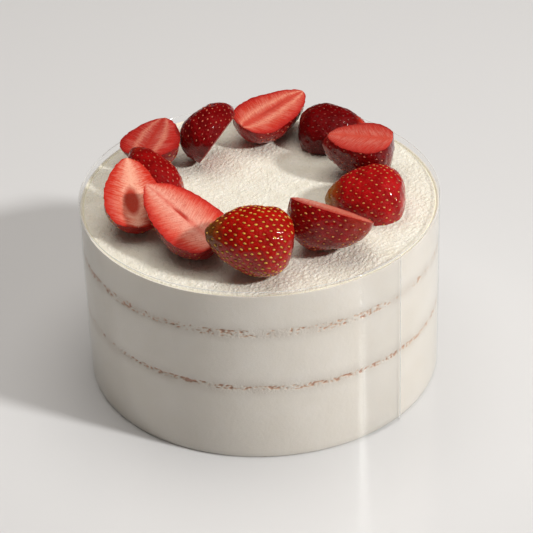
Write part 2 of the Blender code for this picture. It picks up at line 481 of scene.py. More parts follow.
def film_material():
    made, tree, shader = start_material("clear_film", 0.07, Base_Color=FILM_WHITE)
    clear = place_node(tree, "ShaderNodeBsdfTransparent", Color=(1.0, 1.0, 1.0, 1.0))
    edge_on = place_node(tree, "ShaderNodeFresnel", IOR=FILM_IOR)
    cut = attribute_number(tree, "rim")
    tree.links.new(minus(tree, 1.0, cut), shader.inputs["Metallic"])
    outside = minus(tree, 1.0, tree.nodes.new("ShaderNodeNewGeometry").outputs["Backfacing"])
    gloss = times(tree, edge_on.outputs[0], outside)
    share = math_node(tree, "ADD", gloss, times(tree, cut, RIM_COVER), clamp=True)
    mixed = tree.nodes.new("ShaderNodeMixShader")
    tree.links.new(share, mixed.inputs[0])
    tree.links.new(clear.outputs[0], mixed.inputs[1])
    tree.links.new(shader.outputs[0], mixed.inputs[2])
    tree.links.new(mixed.outputs[0], tree.nodes["Material Output"].inputs["Surface"])
    return made


CLEAR_FILM = film_material()
print("film:", CLEAR_FILM.name)

# %% [markdown]
# Strawberry skin is a deep glossy red, more orange and then yellow green towards the tip where it
# ripened last. Each berry has its own reds. The mesh carries a vector called "berry": how far along
# the berry a point is, how far across its cut face, and how deep in a seed pit or hollow. The pits
# are painted a darker red, as painted shade in them. A thin clear coat makes the wet shine.

# %% Strawberry skin
# How much of the darker pit tone, painted shade in the seed pits, is used.
PIT_PAINTED_SHADE = 0.8
TIP_START = 0.84
TIP_EDGE = 6.0
TIP_RAGGED = 0.08
BERRY_GRAIN = 0.9 * MM


def skin_material(name, colours):
    skin, patch, pit_shade, tip = (tone(*colour) for colour in colours)
    made, tree, shader = start_material(
        f"{name}_skin", 0.32, Coat_Weight=0.9, Coat_Roughness=0.06, Coat_IOR=1.33, Specular_IOR_Level=0.08
    )
    place = object_place(tree)
    share, _, dent = attribute_parts(tree, "berry")
    patches = use_group(tree, MOTTLE, Place=place, Patch_Size=5 * MM, Softness=0.35)
    colour = blend_colours(tree, patches, skin, patch)
    # The seed pits are painted darker: painted shade in the hollows.
    colour = blend_colours(tree, times(tree, dent, PIT_PAINTED_SHADE), colour, pit_shade)
    ripe = math_node(tree, "ADD", share, times(tree, patches, TIP_RAGGED))
    towards_tip = times(tree, minus(tree, ripe, TIP_START), TIP_EDGE, clamp=True)
    colour = blend_colours(tree, towards_tip, colour, tip)
    dress(tree, shader, colour, place, BERRY_GRAIN, 0.5 * MM)
    return made


# %% [markdown]
# A cut face has a core, often with a pale line on each side of it, then salmon flesh, and red under
# the skin. Pale fibres run from the core to the seeds. A colour ramp across the face gives the
# bands. The mesh carries how far a point lies along the fibres, so a stretched noise follows them
# however the berry lies, once as pale streaks and once, where it is low, as redder ones.


# %% Strawberry flesh
FIBRE_PALE = tone(246, 206, 186)
FIBRE_RELIEF = 0.35
BAND_WOBBLE = 0.2
GAP_TINT = 0.55
SPECK_TINT = 0.35


def flesh_material(name, streaks, hollow, *bands):
    """Streaks are (strength, fibre width), and bands are rows of share across and colour."""
    stops = [(share, tone(*colour)) for share, *colour in bands]
    made, tree, shader = start_material(
        f"{name}_flesh", 0.36, Coat_Weight=0.15, Coat_Roughness=0.12, Specular_IOR_Level=0.15
    )
    place = object_place(tree)
    _, across, dent = attribute_parts(tree, "berry")
    wobble = use_group(tree, MOTTLE, Place=place, Patch_Size=3 * MM, Softness=1.0)
    shift = times(tree, minus(tree, wobble, 0.5), BAND_WOBBLE)
    away = math_node(tree, "ADD", math_node(tree, "ABSOLUTE", across), shift)
    colour = ramp_of(tree, away, stops)
    strength, width = streaks
    fibres = use_group(
        tree, FIBRES, Along=attribute_number(tree, "fibre"), Across=away, Fibre_Width=width, Seed=len(name)
    )
    window = times(tree, times(tree, away, 3.0, clamp=True), strength)
    inside = minus(tree, 1.05, away, clamp=True)
    pale = times(tree, times(tree, fibres, inside), window)
    colour = blend_colours(tree, pale, colour, FIBRE_PALE)
    gaps = times(tree, minus(tree, 1.0, fibres), window)
    colour = blend_colours(tree, times(tree, gaps, GAP_TINT), colour, stops[-1][1])
    specks = use_group(tree, MOTTLE, Place=place, Patch_Size=0.6 * MM, Level=0.6, Softness=0.12)
    colour = blend_colours(tree, times(tree, specks, SPECK_TINT), colour, stops[-1][1])
    # Hollows are painted a darker red: partly the flesh's own colour there and partly painted shade.
    hollow_colour_and_shade = times(tree, minus(tree, dent, 0.05), 1.1, clamp=True)
    colour = blend_colours(tree, hollow_colour_and_shade, colour, tone(*hollow))
    tree.links.new(colour, shader.inputs["Base Color"])
    relief = use_group(tree, FINE_RELIEF, Place=place, Grain_Size=BERRY_GRAIN)
    height = math_node(tree, "ADD", relief, times(tree, fibres, FIBRE_RELIEF))
    add_bump(tree, shader, height, 0.2 * MM)
    return made


# %% [markdown]
# The seeds are small dry nutlets, from straw yellow to golden brown. Their own material has a slow
# noise in it, so that neighbours differ.


# %% Seed finish
def seed_material(name, colours):
    light, dark = (tone(*colour) for colour in colours)
    made, tree, shader = start_material(f"{name}_seeds", 0.35, Coat_Weight=0.3, Coat_Roughness=0.2)
    place = object_place(tree)
    mask = use_group(tree, MOTTLE, Place=place, Patch_Size=1.6 * MM, Softness=0.3)
    tree.links.new(blend_colours(tree, mask, light, dark), shader.inputs["Base Color"])
    return made


print("materials so far:", len(bpy.data.materials))

# %% [markdown]
# Every piece is finished the same way. Its bmesh becomes a mesh at the origin, shaded smooth up to
# its sharp edges. It rides with the cake, takes the finishes it is given, and hides the node of the
# imported model that it stands for.


# %% Piece helper
SECTORS = 10
WELD = 0.002 * MM


def add_piece(name, bm, materials, node, sharp=50.0):
    mesh = mesh_of(name, bm)
    mesh.shade_smooth()
    mesh.set_sharp_from_angle(angle=math.radians(sharp))
    for finish in materials:
        mesh.materials.append(finish)
    piece = add_object(name, mesh)
    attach(piece, "root")
    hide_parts(node)
    mesh.calc_loop_triangles()
    print(name, len(mesh.loop_triangles), "triangles")
    return piece


def spun_solid(profile, axis, steps):
    """A closed solid of revolution about an axis through the origin.

    Spinning one sector and then copying it round is much quicker than one spin with many steps.
    """
    bm = bmesh.new()
    verts = [bm.verts.new(place) for place in profile]
    edges = [bm.edges.new(pair) for pair in zip(verts, verts[1:])]
    turn = {"cent": (0.0, 0.0, 0.0), "axis": axis}
    bmesh.ops.spin(bm, geom=verts + edges, angle=math.tau / SECTORS, steps=steps // SECTORS, **turn)
    whole = bm.verts[:] + bm.edges[:] + bm.faces[:]
    rest = math.tau * (SECTORS - 1) / SECTORS
    bmesh.ops.spin(bm, geom=whole, angle=rest, steps=SECTORS - 1, use_duplicate=True, **turn)
    bmesh.ops.remove_doubles(bm, verts=bm.verts, dist=WELD)
    bmesh.ops.recalc_face_normals(bm, faces=bm.faces)
    return bm


# %% [markdown]
# The cream layers below the top are plain discs on the real cake too, smoothed with a scraper
# before the film went on. A spun profile makes them. The side is pushed in and out by less than a
# tenth of a millimetre, so that it doesn't look machined. Each layer reaches the middle of the gap
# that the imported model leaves, so that no dark line shows between layers.

# %% Cream layers
CAKE_RADIUS = 75.0 * MM
FILM_THICKNESS = 0.3 * MM
GAP = 0.3 * MM
CREAM_RADIUS = CAKE_RADIUS - 2.0 * (FILM_THICKNESS + GAP)
SIDE_STEPS = 240
SIDE_WAVE = 0.08 * MM
SIDE_WAVE_SIZE = 22 * MM
SIDE_BAND = 0.3 * MM
BOTTOM_ROUND = 0.8 * MM
LAYER_ROWS = 14


def side_wave(place):
    """A slow change of the side's radius round the cake and up it."""
    return SIDE_WAVE * noise.noise(Vector((place.x, place.y, 1.6 * place.z)) / SIDE_WAVE_SIZE)


def push_side(bm):
    for vert in bm.verts:
        if vert.co.xy.length > CREAM_RADIUS - SIDE_BAND:
            vert.co.xy *= 1.0 + side_wave(vert.co) / vert.co.xy.length


def cream_layer(name, low, high, rounded):
    start = low + (BOTTOM_ROUND if rounded else 0.0)
    rim = [
        (CREAM_RADIUS, 0.0, start + (high - start) * row / LAYER_ROWS) for row in range(LAYER_ROWS + 1)
    ]
    if rounded:
        rim.insert(0, (CREAM_RADIUS - 0.3 * BOTTOM_ROUND, 0.0, low + 0.3 * BOTTOM_ROUND))
        rim.insert(0, (CREAM_RADIUS - BOTTOM_ROUND, 0.0, low))
    bm = spun_solid([(0.0, 0.0, low), *rim, (0.0, 0.0, high)], (0.0, 0.0, 1.0), SIDE_STEPS)
    push_side(bm)
    return add_piece(f"{name}_layer", bm, [CREAM_SIDE], name)


def seam_between(lower, upper):
    """The height halfway across the gap between two nodes."""
    return (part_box(lower)[1][2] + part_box(upper)[0][2]) / 2.0


LAYERS = ("cream_base", "sponge_lower", "cream_middle", "sponge_upper", "cream_top")
SEAMS = [seam_between(*pair) for pair in zip(LAYERS, LAYERS[1:])]
cream_layer("cream_base", 0.0, SEAMS[0], rounded=True)
cream_layer("cream_middle", SEAMS[1], SEAMS[2], rounded=False)
print("seams at", [round(seam / MM, 2) for seam in SEAMS], "mm")

# %% [markdown]
# A sponge sheet is a thin disc whose rim needs real crumb: pits and grains under a smear of cream.
# The rim is spun with cells under half a millimetre, and each point is pushed in where the crumb is
# bare. The same number that pushes it is kept on the mesh for the colours. The lower sheet shows as
# a thin line that climbs a little towards the left, and the upper one as a wider, fainter band.

# %% Sponge sheets
RIM_STEPS = 1100
RIM_ROWS = 11
LINE_WAVER = 0.5 * MM
LINE_WAVER_SIZE = 14 * MM
CRUMB_SIZE = 1.3 * MM
CRUMB_PATCH = 5.5 * MM
CRUMB_CONTRAST = 2.6
CRUMB_INSET = 0.5
CRUMB_GRAIN = 0.25
Line = namedtuple("Line", "height tilt spread bare_left bare_right")
LINES = {
    "sponge_lower": Line(34.4 * MM, -1.2 * MM, 1.25 * MM, 0.56, 0.62),
    "sponge_upper": Line(60.6 * MM, -0.5 * MM, 1.9 * MM, 0.57, 0.46),
}


def crumb_share(place, line):
    """How bare the crumb is at a place on the rim: 0 under a smear of cream, 1 quite bare."""
    turn = math.atan2(place.y, place.x)
    middle = line.height + line.tilt * math.cos(turn) + LINE_WAVER * noise.noise(place / LINE_WAVER_SIZE)
    band = max(0.0, 1.0 - ((place.z - middle) / line.spread) ** 2)
    flat = Vector((place.x, place.y, 1.8 * place.z))
    grains = 0.5 + 0.5 * noise.noise(flat / CRUMB_SIZE) + 0.3 * noise.noise(flat / CRUMB_PATCH)
    right = 0.5 + 0.5 * math.cos(turn)
    bare = line.bare_left + (line.bare_right - line.bare_left) * right
    return min(1.0, max(0.0, (grains - (1.0 - bare)) * CRUMB_CONTRAST)) * min(1.0, 1.8 * band)


def sponge_sheet(name, low, high):
    line = LINES[name]
    rim = [(CREAM_RADIUS, 0.0, low + (high - low) * row / RIM_ROWS) for row in range(RIM_ROWS + 1)]
    bm = spun_solid([(0.0, 0.0, low), *rim, (0.0, 0.0, high)], (0.0, 0.0, 1.0), RIM_STEPS)
    crumb = bm.verts.layers.float.new("crumb")
    for vert in bm.verts:
        if vert.co.xy.length > MM:
            share = crumb_share(vert.co, line)
            vert[crumb] = share
            edge = min(vert.co.z - low, high - vert.co.z) > 0.1 * MM
            grain = CRUMB_GRAIN * noise.noise(vert.co / (0.7 * MM)) if edge else 0.0
            inset = share * (CRUMB_INSET + grain) * MM - side_wave(vert.co)
            vert.co.xy *= 1.0 - inset / vert.co.xy.length
    return add_piece(f"{name}_sheet", bm, [SPONGE_CRUMB], name)


sponge_sheet("sponge_lower", SEAMS[0], SEAMS[1])
sponge_sheet("sponge_upper", SEAMS[2], SEAMS[3])

# %% [markdown]
# Eleven strawberry pieces stand in a broken ring. A strawberry is a solid of revolution with
# gentle lumps, so its outline is spun about its own axis and a slow noise pushes it about. The knife
# is a plane that takes away one side. The sizes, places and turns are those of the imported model,
# whose nodes bear the same names after "strawberry_".

# %% Berry outlines
Berry = namedtuple("Berry", "name x y yaw tip_up roll length width cut")
BERRIES = (
    Berry("front", -4.5, -56.5, 181, 13, 180, 35, 28, None),
    Berry("front_left", -31, -36.5, 133, 15, -10, 42, 26.5, 0),
    Berry("left", -50.6, -15.5, 98, 19, 8, 38, 25.5, -2),
    Berry("left_inner", -44, 7, 124, 24, 180, 32, 20, 1),
    Berry("back_left", -44.4, 31, 66, 14, -8, 25, 28, -2.9),
    Berry("back", -19.15, 35, 58, 17, 125, 30, 22.4, 4),
    Berry("back_long", 6.9, 52, 44, 4, 8, 37, 24, 0),
    Berry("back_right", 32.9, 44, -6, 3, 180, 31, 26, 3),
    Berry("right_upper", 41.5, 16, 167, 0, 0, 30, 26.5, 4.5),
    Berry("right", 43, -11, 174, 0, 180, 33, 28.5, 4),
    Berry("front_right", 29.5, -40.5, -36, 0, -32, 34, 33, 1),
)
SHOULDER = 0.33
CALYX_WIDTH = 0.50
CALYX_ROUND = 0.07
SHOULDER_POWER = 2.2
TAPER_POWER = 1.8
TAPER_ROUND = 0.64
LUMP_HEIGHT = 0.07
LUMP_SIZE = 10.0 * MM
KNOB_HEIGHT = 0.35 * MM
KNOB_SIZE = 2.6 * MM
BERRY_SIDES = 160
BERRY_RINGS = 76
FINER_ENDS = 0.09


def berry_radius(share):
    """Radius of a berry, as a share of its half width, at a share of its length from the calyx."""
    if share < SHOULDER:
        rise = 1.0 - share / SHOULDER
        radius = 1.0 - (1.0 - CALYX_WIDTH) * rise**SHOULDER_POWER
        corner = max(0.0, 1.0 - max(0.0, share) / CALYX_ROUND)
        return radius * math.sqrt(1.0 - corner * corner)
    fall = (share - SHOULDER) / (1.0 - SHOULDER)
    return max(0.0, 1.0 - fall**TAPER_POWER) ** TAPER_ROUND


def berry_profile(berry):
    """The outline from the calyx end to the tip, along +X, with finer steps towards both ends."""
    length, half_width = berry.length * MM, berry.width * MM / 2.0
    profile = []
    for ring in range(BERRY_RINGS + 1):
        part = ring / BERRY_RINGS
        share = part - FINER_ENDS * math.sin(math.tau * part)
        profile.append((length * (share - 0.5), 0.0, half_width * berry_radius(share)))
    return profile


def lump_factor(place, seed):
    return 1.0 + LUMP_HEIGHT * noise.noise(place / LUMP_SIZE + Vector((seed * 7.3, 0.0, 0.0)))


def knobble(place, seed):
    """Small knobs of the skin, a few millimetres wide, that break up a berry's outline."""
    return KNOB_HEIGHT * noise.noise(place / KNOB_SIZE + Vector((0.0, seed * 3.1, 0.0)))


print("berry outline points:", len(berry_profile(BERRIES[0])))

# %% [markdown]
# Seeds sit in pits that wind round a berry in a spiral, evenly far apart. Turning by the golden
# angle from one seed to the next, with equal skin area between them, gives that pattern, and a
# little chance keeps it from looking ruled. Every point of the skin near a seed is pushed in. The
# seed is a small ellipsoid lying in the pit with its long side towards the tip. One ball is made,
# and stretched copies of it go to the pits, which is much quicker than a new ball for each seed.

# %% Seed places
GOLDEN_ANGLE = math.pi * (3.0 - math.sqrt(5.0))
SEED_SPACING = 2.75 * MM
SEED_AREA = SEED_SPACING**2 * 0.9
SEED_FIRST = 0.04
SEED_LAST = 0.985
SEED_STEPS = 200
SEED_STRAY = 0.3
TURN_STRAY = 0.03
Spot = namedtuple("Spot", "place along out")


def berry_surface(berry, share, turn, seed):
    """A point of the lumpy skin, at a share of the length and an angle round the axis."""
    radius = berry.width * MM / 2.0 * berry_radius(share)
    place = Vector((berry.length * MM * (share - 0.5), radius * math.cos(turn), radius * math.sin(turn)))
    place.yz *= lump_factor(place, seed)
    return place


def seed_spots(berry, seed):
    shares = [
        SEED_FIRST + (SEED_LAST - SEED_FIRST) * (step + 0.5) / SEED_STEPS for step in range(SEED_STEPS)
    ]
    step_length = berry.length * MM * (SEED_LAST - SEED_FIRST) / SEED_STEPS
    areas = [math.tau * berry.width * MM / 2.0 * berry_radius(share) * step_length for share in shares]
    spots = []
    grown = 0.0
    chance = random.Random(seed)
    for evenly, area in zip(shares, areas):
        grown += area
        while grown > SEED_AREA:
            grown -= SEED_AREA
            moved = evenly + chance.uniform(-SEED_STRAY, SEED_STRAY) / berry.length
            share = min(SEED_LAST, max(SEED_FIRST, moved))
            turn = GOLDEN_ANGLE * len(spots) + seed + chance.uniform(-TURN_STRAY, TURN_STRAY)
            place = berry_surface(berry, share, turn, seed)
            along = (berry_surface(berry, share + 0.01, turn, seed) - place).normalized()
            around = (berry_surface(berry, share, turn + 0.02, seed) - place).normalized()
            out = around.cross(along).normalized()
            if out.dot(Vector((0.0, *place.yz))) < 0.0:
                out = -out
            spots.append(Spot(place, along, out))
    return spots


print("seeds on the whole berry:", len(seed_spots(BERRIES[0], 0)))


# %% Pits
def press_pits(bm, spots, width, depth):
    """Pushes the skin in round each seed, and gives how deep each point went, from 0 to 1."""
    tree = kdtree.KDTree(len(spots))
    for number, spot in enumerate(spots):
        tree.insert(spot.place, number)
    tree.balance()
    bm.normal_update()
    pressed = {}
    for vert in bm.verts:
        away = tree.find(vert.co)[2]
        pressed[vert] = max(0.0, 1.0 - (away / width) ** 2) ** 2
    for vert, share in pressed.items():
        vert.co -= vert.normal * depth * share
    return pressed


# %% Seeds
SEED_SHAPE = (0.66, 0.36, 0.28)
SEED_STANDS = 0.16
SEED_GROWTH = (0.85, 1.12)
SEED_TWIST = 0.3
KNIFE_MARGIN = 0.2 * MM


def one_seed():
    """A ball of radius 1 with few faces."""
    bm = bmesh.new()
    bmesh.ops.create_uvsphere(bm, u_segments=8, v_segments=5, radius=1.0)
    return mesh_of("seed", bm)


def add_seeds(bm, spots, berry, size, depth, finish_index):
    """Joins one small ellipsoid per seed to the berry, leaving out those the knife took."""
    ball = one_seed()
    ball.polygons.foreach_set("material_index", [finish_index] * len(ball.polygons))
    chance = random.Random(len(spots))
    for spot in spots:
        if berry.cut is not None and spot.place.z > berry.cut * MM - KNIFE_MARGIN:
            continue
        side = spot.out.cross(spot.along).normalized()
        axes = Matrix((side.cross(spot.out), side, spot.out)).transposed().to_4x4()
        grown = size * chance.uniform(*SEED_GROWTH)
        shape = Matrix.Diagonal((*(part * grown for part in SEED_SHAPE), 1.0))
        twist = Matrix.Rotation(chance.uniform(-SEED_TWIST, SEED_TWIST), 4, "Z")
        where = Matrix.Translation(spot.place - spot.out * (depth - SEED_STANDS * size))
        copied = ball.copy()
        copied.transform(where @ axes @ twist @ shape)
        bm.from_mesh(copied)
        bpy.data.meshes.remove(copied)
    bpy.data.meshes.remove(ball)


# %% [markdown]
# A cut face isn't flat: the flesh swells a little between core and skin, and some berries are
# hollow. The knife's plane is closed with one face, which more planes cut into small cells, so that
# there are points to raise and lower. The same loop writes the numbers that the colours follow.

# %% Cut faces
CELL = 0.8 * MM
CELL_SHIFT = 0.37
EXACT = 1e-6


def slice_berry(bm, height):
    whole = bm.verts[:] + bm.edges[:] + bm.faces[:]
    cut = bmesh.ops.bisect_plane(
        bm, geom=whole, dist=EXACT, plane_co=(0.0, 0.0, height), plane_no=(0.0, 0.0, 1.0), clear_outer=True
    )
    rim = [e for e in cut["geom_cut"] if isinstance(e, bmesh.types.BMEdge)]
    return bmesh.ops.contextual_create(bm, geom=rim)["faces"]


def cut_rows(bm, faces, normal, reach):
    """Cuts faces along parallel planes, one every cell."""
    geometry = set(faces)
    rows = math.ceil(reach / CELL)
    for row in range(-rows, rows + 1):
        parts = set(geometry)
        for face in geometry:
            parts.update(face.edges, face.verts)
        cut = bmesh.ops.bisect_plane(
            bm, geom=list(parts), dist=EXACT, plane_co=normal * (row + CELL_SHIFT) * CELL, plane_no=normal
        )
        geometry.update(e for e in cut["geom"] if isinstance(e, bmesh.types.BMFace))
    return geometry


print("cells across the widest cut:", round(33 * MM / CELL))

# %% Swell and hollows
FLESH_SWELL = 0.45 * MM
FLESH_WAVE = 0.10 * MM
FLESH_WAVE_SIZE = 2.2 * MM
FIBRE_SLANT = 0.45
HOLLOW_POWER = 1.4
Hollow = namedtuple("Hollow", "share across long wide depth")


def shape_flesh(bm, faces, berry, hollows, seed):
    """Swells a cut face between its rim and core, sinks its hollows, and writes the flesh numbers."""
    place_layer = bm.verts.layers.float_vector["berry"]
    fibre_layer = bm.verts.layers.float["fibre"]
    length, half_width = berry.length * MM, berry.width * MM / 2.0
    for vert in {vert for face in faces for vert in face.verts}:
        share = vert.co.x / length + 0.5
        radius = half_width * berry_radius(min(0.999, max(0.0, share))) * lump_factor(vert.co, seed)
        chord = math.sqrt(max(radius**2 - (berry.cut * MM) ** 2, (0.4 * MM) ** 2))
        across = min(1.0, max(-1.0, vert.co.y / chord))
        inner = all(face in faces for face in vert.link_faces)
        dent = 0.0
        if inner:
            vert.co.z += FLESH_SWELL * (1.0 - across**4) * min(1.0, 6.0 * (1.0 - share))
            vert.co.z += FLESH_WAVE * noise.noise(vert.co / FLESH_WAVE_SIZE)
            for hollow in hollows:
                along = (share - hollow.share) / hollow.long
                aside = (across - hollow.across) / hollow.wide
                depth = max(0.0, 1.0 - along**2 - aside**2)
                vert.co.z -= hollow.depth * MM * depth**HOLLOW_POWER
                dent = max(dent, min(1.0, 1.5 * depth))
        vert[place_layer] = (share, across, dent)
        vert[fibre_layer] = (share * length - FIBRE_SLANT * abs(across) * chord) / MM


# %% [markdown]
# No two berries are alike. This table gives each its reds, its flesh, its seeds and its hollows:
# orange red with big golden seeds in front, crimson on the shaded side, pink where a wide cut face
# shows. A berry whose cut face lies on the cream needs no flesh. Lengths are in millimetres, and
# colours are as on a screen.

# %% Looks of each berry
Look = namedtuple("Look", "skin flesh seeds seed_size pit_depth hollows")
GOLD = ((228, 178, 70), (184, 120, 36))
STRAW = ((222, 156, 82), (164, 70, 34))
# Pale seeds: partly their own pale colour and partly painted glints, a painted highlight.
SEEDS_PALE_AND_PAINTED_GLINTS = ((214, 120, 88), (150, 34, 26))
# Dark seeds: partly their own colour and partly painted shade, for a berry whose seen side lies in shade.
SEEDS_DARK_AND_PAINTED_SHADE = ((150, 56, 40), (70, 14, 10))
CRIMSON = ((160, 14, 14), (128, 8, 9), (128, 10, 10), (150, 40, 26))
DEEP = ((130, 7, 10), (100, 4, 6), (98, 5, 6), (140, 24, 22))
LOOKS = {
    "front": Look(
        ((178, 20, 9), (150, 11, 5), (140, 16, 6), (112, 70, 26)),
        None, GOLD, 1.10, 0.36, (),
    ),
    "front_left": Look(
        CRIMSON,
        (
            (0.34, 0.6), (186, 54, 42),
            (0.0, 226, 124, 106), (0.16, 238, 158, 138), (0.42, 232, 130, 108),
            (0.66, 220, 82, 62), (0.84, 208, 46, 32), (1.0, 178, 30, 22),
        ),
        STRAW, 0.85, 0.28, (Hollow(0.50, 0.0, 0.15, 0.06, 0.5),),
    ),
    "left": Look(
        ((176, 24, 13), (146, 14, 9), (150, 20, 10), (150, 60, 30)),
        (
            (0.42, 0.8), (176, 58, 40),
            (0.0, 240, 174, 148), (0.22, 236, 154, 128), (0.45, 218, 92, 66),
            (0.74, 202, 46, 28), (1.0, 186, 30, 16),
        ),
        GOLD, 0.9, 0.28, (Hollow(0.36, 0.08, 0.24, 0.30, 0.5),),
    ),
    "left_inner": Look(CRIMSON, None, SEEDS_PALE_AND_PAINTED_GLINTS, 0.8, 0.28, ()),
    "back_left": Look(
        CRIMSON,
        (
            (0.24, 0.55), (150, 30, 28),
            (0.0, 186, 54, 44), (0.22, 188, 56, 46), (0.40, 218, 120, 98),
            (0.56, 192, 56, 46), (0.8, 190, 36, 30), (1.0, 160, 20, 18),
        ),
        STRAW, 0.8, 0.28, (),
    ),
    "back": Look(
        DEEP,
        (
            (0.4, 0.8), (110, 20, 18),
            (0.0, 176, 50, 40), (0.5, 170, 44, 36), (1.0, 130, 20, 18),
        ),
        SEEDS_PALE_AND_PAINTED_GLINTS, 0.8, 0.30, (),
    ),
    "back_long": Look(
        CRIMSON,
        (
            (0.26, 0.55), (180, 60, 48),
            (0.0, 200, 72, 56), (0.12, 200, 70, 54), (0.32, 228, 134, 108),
            (0.52, 206, 78, 58), (0.82, 192, 42, 32), (1.0, 160, 20, 18),
        ),
        SEEDS_PALE_AND_PAINTED_GLINTS, 0.8, 0.28, (Hollow(0.5, 0.0, 0.3, 0.05, 0.4),),
    ),
    # The back right berry's skin is a very dark crimson, partly its own colour and partly painted shade, and
    # its tip a bright orange red, partly a paler tip and partly painted light.
    "back_right": Look(
        ((112, 5, 7), (88, 3, 5), (84, 4, 5), (206, 60, 42)),
        None, SEEDS_DARK_AND_PAINTED_SHADE, 0.8, 0.28, (),
    ),
    "right_upper": Look(
        DEEP,
        (
            (0.24, 0.45), (150, 30, 28),
            (0.0, 204, 78, 62), (0.4, 198, 68, 55), (0.75, 190, 54, 44),
            (1.0, 160, 30, 24),
        ),
        SEEDS_PALE_AND_PAINTED_GLINTS, 0.8, 0.30, (),
    ),
    "right": Look(
        ((182, 20, 22), (150, 12, 14), (146, 12, 12), (160, 112, 36)),
        None, STRAW, 0.85, 0.32, (),
    ),
    "front_right": Look(
        ((156, 10, 12), (124, 6, 8), (120, 8, 8), (150, 40, 26)),
        (
            (0.5, 0.8), (150, 30, 28),
            (0.0, 226, 124, 100), (0.6, 206, 82, 62), (1.0, 180, 40, 30),
        ),
        STRAW, 0.9, 0.30, (),
    ),
}
print("berries with a look:", len(LOOKS))

# %% [markdown]
# Now each berry is made in its own axes, turned, and set down where its node stands. The node's
# box gives the height it rests at.

# %% Berries
PIT_WIDTH = 1.15


def berry_bmesh(berry, look, seed):
    bm = spun_solid(berry_profile(berry), (1.0, 0.0, 0.0), BERRY_SIDES)
    place_layer = bm.verts.layers.float_vector.new("berry")
    bm.verts.layers.float.new("fibre")
    for vert in bm.verts:
        vert.co.yz *= lump_factor(vert.co, seed)
    bm.normal_update()
    for vert in bm.verts:
        vert.co += vert.normal * knobble(vert.co, seed)
    spots = seed_spots(berry, seed)
    seed_size, pit_depth = look.seed_size * MM, look.pit_depth * MM
    pressed = press_pits(bm, spots, PIT_WIDTH * seed_size, pit_depth)
    for vert, dent in pressed.items():
        vert[place_layer] = (vert.co.x / (berry.length * MM) + 0.5, 0.0, dent)
    if berry.cut is not None:
        flesh = slice_berry(bm, berry.cut * MM)
        if look.flesh is not None:
            flesh = cut_rows(bm, flesh, Vector((1.0, 0.0, 0.0)), berry.length * MM / 2.0)
            flesh = cut_rows(bm, flesh, Vector((0.0, 1.0, 0.0)), berry.width * MM / 2.0)
            shape_flesh(bm, flesh, berry, look.hollows, seed)
            for face in flesh:
                face.material_index = 1
    bmesh.ops.recalc_face_normals(bm, faces=bm.faces)
    add_seeds(bm, spots, berry, seed_size, pit_depth, 1 if look.flesh is None else 2)
    return bm


def place_berry(berry, number):
    name = f"strawberry_{berry.name}"
    look = LOOKS[berry.name]
    bm = berry_bmesh(berry, look, number)
    turned = (
        Matrix.Rotation(math.radians(berry.yaw), 4, "Z")
        @ Matrix.Rotation(math.radians(-berry.tip_up), 4, "Y")
        @ Matrix.Rotation(math.radians(berry.roll), 4, "X")
    )
    bmesh.ops.transform(bm, matrix=turned, verts=bm.verts)
    lowest = min(vert.co.z for vert in bm.verts)
    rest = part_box(name)[0][2]
    bmesh.ops.translate(bm, verts=bm.verts, vec=(berry.x * MM, berry.y * MM, rest - lowest))
    tree = BVHTree.FromBMesh(bm)
    finishes = [skin_material(name, look.skin)]
    if look.flesh is not None:
        finishes.append(flesh_material(name, *look.flesh))
    finishes.append(seed_material(name, look.seeds))
    add_piece(f"{name}_fruit", bm, finishes, name, sharp=60.0)
    return tree


BERRY_TREES = [place_berry(berry, number) for number, berry in enumerate(BERRIES)]

# %% [markdown]
# The top of the cake was spread with a palette knife: short soft ridges all run one way inside a
# smooth rim, with a thin groove between. A square grid of points is bent into a disc, so that its
# cells stay even and its outer rings follow the rim, and each point gets its height. Where a berry
# lies, the cream rises to meet it, so no berry hovers.

# %% Height of the top
RIDGE_ANGLE = math.radians(50.0)
GROOVE_FROM_EDGE = 1.15 * MM
GROOVE_HALF_WIDTH = 0.38 * MM
GROOVE_DEPTH = 0.5 * MM
FIELD_EASE = 1.2 * MM
RIM_ROUND = 0.5 * MM
RIM_DROP = 0.10 * MM
SCRAPE_DEPTH = 0.30 * MM
Ridge = namedtuple("Ridge", "long wide height seed")
RIDGES = (Ridge(14, 6, 0.12, 0.0), Ridge(2.1, 1, 0.34, 3.0), Ridge(1.2, 0.8, 0.26, 7.0))


def disc_place(across, up):
    """A point of a square from -1 to 1, moved to a disc. Squares round the middle become circles."""
    if across == 0.0 and up == 0.0:
        return Vector((0.0, 0.0, 0.0))
    if abs(across) > abs(up):
        reach, turn = across, math.pi / 4.0 * up / across
    else:
        reach, turn = up, math.pi / 2.0 - math.pi / 4.0 * across / up
    radius = CREAM_RADIUS * reach * (1.14 - 0.14 * reach * reach)
    return Vector((radius * math.cos(turn), radius * math.sin(turn), 0.0))


def ridge_depth(place):
    """How far the scraped cream lies below its rim."""
    along = place.x * math.cos(RIDGE_ANGLE) + place.y * math.sin(RIDGE_ANGLE)
    across = place.y * math.cos(RIDGE_ANGLE) - place.x * math.sin(RIDGE_ANGLE)
    depth = SCRAPE_DEPTH
    for ridge in RIDGES:
        flat = Vector((along / (ridge.long * MM), across / (ridge.wide * MM), ridge.seed))
        depth -= ridge.height * MM * noise.noise(flat)
    return depth


def groove_share(radius):
    away = (CREAM_RADIUS - radius - GROOVE_FROM_EDGE) / GROOVE_HALF_WIDTH
    return math.exp(-away * away)


